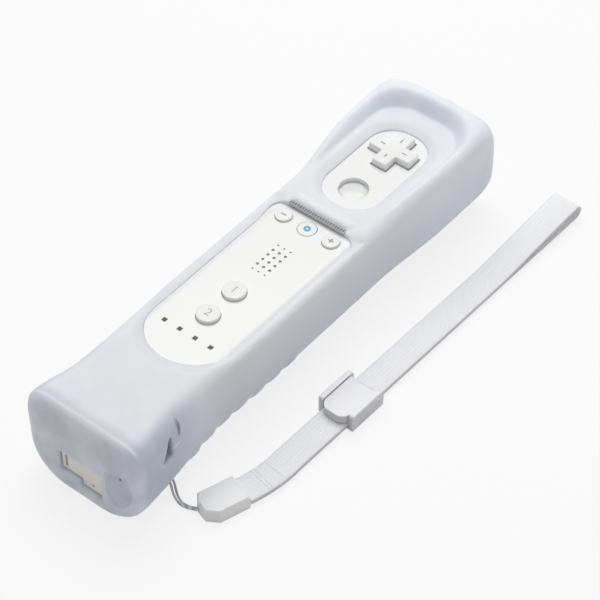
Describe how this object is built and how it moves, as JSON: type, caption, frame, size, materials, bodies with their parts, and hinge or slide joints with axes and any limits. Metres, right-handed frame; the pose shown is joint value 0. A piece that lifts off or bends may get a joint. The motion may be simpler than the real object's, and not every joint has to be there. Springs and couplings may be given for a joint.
{
  "type": "motion controller wand",
  "caption": "Motion-sensing game controller wand in a translucent padded jacket, with direction pad, keys, rear trigger module and a slide-adjusted wrist strap.",
  "frame": {"origin": "centre of the jacket's footprint, on the surface that it rests on", "axes": "+Y to the front of the wand, +X to its right side, +Z out of the button face"},
  "size_m": [0.0706, 0.2004, 0.0411],
  "materials": {
    "silicone": "soft translucent silicone, satin",
    "strip_rubber": "dark ribbed rubber",
    "shell_white": "white moulded plastic, soft gloss",
    "release_grey": "grey moulded plastic",
    "key_white": "white moulded keys, glossy",
    "key_clear": "clear-topped key, polished",
    "power_red": "red moulded key",
    "port_cream": "cream moulded plastic, satin",
    "pivot_plastic": "grey moulded plastic",
    "keypad_rubber": "grey rubber, matt",
    "board_green": "green lacquered board",
    "speaker_black": "black cone and frame",
    "light_lens": "clear light guides",
    "dark_window": "dark window, polished",
    "camera_black": "black moulded sensor",
    "motor_steel": "drawn steel can",
    "weight_brass": "sintered weight",
    "sync_red": "red moulded key",
    "connector_white": "white connector plastic",
    "connector_black": "black connector plastic",
    "bright_steel": "plated steel",
    "contact_metal": "nickel plated contacts",
    "cell_sleeve": "sleeved dry cells",
    "cord_fabric": "braided light grey cord",
    "band_fabric": "woven light grey band",
    "ferrule_plastic": "light grey moulded ferrule",
    "slider_plastic": "light grey moulded slider"
  },
  "bodies": {
    "controller": {"jacket": "silicone", "ribbed_strip": "strip_rubber", "top_shell": "shell_white", "bottom_shell": "shell_white", "battery_cover": "shell_white", "module_upper_shell": "shell_white", "module_lower_shell": "shell_white", "front_keypad": "keypad_rubber", "rear_keypad": "keypad_rubber", "main_board": "board_green", "module_board": "board_green", "speaker": "speaker_black", "player_lights": "light_lens", "ir_window": "dark_window", "ir_camera": "camera_black", "rumble_motor": "motor_steel", "wand_socket": "connector_white", "module_plug": "connector_white", "port_connector": "connector_black", "strap_bar": "bright_steel", "housing_screws": "bright_steel", "contact_plates": "contact_metal", "contact_springs": "contact_metal", "battery_cells": "cell_sleeve", "strap_string_rear": "cord_fabric", "strap_string_front": "cord_fabric", "webbing": "band_fabric", "ferrule": "ferrule_plastic"},
    "pad_rocker": {"dpad_rocker": "pivot_plastic"},
    "direction_pad": {"dpad": "key_white"},
    "large_key": {"a_button": "key_clear"},
    "minus_key": {"minus_button": "key_white"},
    "home_key": {"home_button": "key_white"},
    "plus_key": {"plus_button": "key_white"},
    "one_key": {"one_button": "key_white"},
    "two_key": {"two_button": "key_white"},
    "power_key": {"power_button": "power_red"},
    "trigger": {"b_trigger": "key_white"},
    "rumble_spinner": {"rumble_weight": "weight_brass"},
    "sync_key": {"sync_button": "sync_red"},
    "left_release": {"release_key_left": "release_grey"},
    "right_release": {"release_key_right": "release_grey"},
    "lock": {"lock_slide": "shell_white"},
    "rear_cover": {"port_cover": "port_cream"},
    "strap_slider": {"slider_body": "slider_plastic", "slider_pin": "bright_steel"},
    "strap_lever": {"slider_lever": "slider_plastic"}
  },
  "joints": [
    {"name": "pad_tilt_front_rear", "type": "hinge", "parent": "controller", "child": "pad_rocker", "pos_m": [0, 0.06195, 0.0302], "axis": [1, 0, 0], "range_deg": [-4, 4], "stiffness_Nm_per_rad": 0.06},
    {"name": "pad_tilt_side", "type": "hinge", "parent": "pad_rocker", "child": "direction_pad", "pos_m": [0, 0.06195, 0.0302], "axis": [0, 1, 0], "range_deg": [-4, 4], "stiffness_Nm_per_rad": 0.06},
    {"name": "a_press", "type": "slide", "parent": "controller", "child": "large_key", "axis": [0, 0, -1], "range_m": [0, 0.0007], "stiffness_N_per_m": 900},
    {"name": "minus_press", "type": "slide", "parent": "controller", "child": "minus_key", "axis": [0, 0, -1], "range_m": [0, 0.0007], "stiffness_N_per_m": 900},
    {"name": "home_press", "type": "slide", "parent": "controller", "child": "home_key", "axis": [0, 0, -1], "range_m": [0, 0.0007], "stiffness_N_per_m": 900},
    {"name": "plus_press", "type": "slide", "parent": "controller", "child": "plus_key", "axis": [0, 0, -1], "range_m": [0, 0.0007], "stiffness_N_per_m": 900},
    {"name": "one_press", "type": "slide", "parent": "controller", "child": "one_key", "axis": [0, 0, -1], "range_m": [0, 0.0007], "stiffness_N_per_m": 900},
    {"name": "two_press", "type": "slide", "parent": "controller", "child": "two_key", "axis": [0, 0, -1], "range_m": [0, 0.0007], "stiffness_N_per_m": 900},
    {"name": "power_press", "type": "slide", "parent": "controller", "child": "power_key", "axis": [0, 0, -1], "range_m": [0, 0.0007], "stiffness_N_per_m": 900},
    {"name": "trigger_pull", "type": "hinge", "parent": "controller", "child": "trigger", "pos_m": [0, 0.05775, 0.0099], "axis": [-1, 0, 0], "range_deg": [0, 8], "stiffness_Nm_per_rad": 0.2},
    {"name": "rumble_spin", "type": "hinge", "parent": "controller", "child": "rumble_spinner", "pos_m": [-0.009, 0.0272, 0.018], "axis": [0, 1, 0], "continuous": true},
    {"name": "sync_press", "type": "slide", "parent": "controller", "child": "sync_key", "axis": [0, 0, 1], "range_m": [0, 0.0004], "stiffness_N_per_m": 900},
    {"name": "left_release_press", "type": "slide", "parent": "controller", "child": "left_release", "axis": [1, 0, 0], "range_m": [0, 0.0008], "stiffness_N_per_m": 900},
    {"name": "right_release_press", "type": "slide", "parent": "controller", "child": "right_release", "axis": [-1, 0, 0], "range_m": [0, 0.0008], "stiffness_N_per_m": 900},
    {"name": "lock_push", "type": "slide", "parent": "controller", "child": "lock", "axis": [0, -1, 0], "range_m": [0, 0.002]},
    {"name": "rear_cover_pull", "type": "slide", "parent": "controller", "child": "rear_cover", "axis": [0, -1, 0], "range_m": [0, 0.006]},
    {"name": "strap_slider_run", "type": "slide", "parent": "controller", "child": "strap_slider", "axis": [0.0236, 0.9997, 0], "range_m": [-0.026, 0.059]},
    {"name": "strap_lever_lift", "type": "hinge", "parent": "strap_slider", "child": "strap_lever", "pos_m": [0.04002, -0.0056, 0.0045], "axis": [-0.9997, 0.0236, 0], "range_deg": [0, 75]}
  ]
}
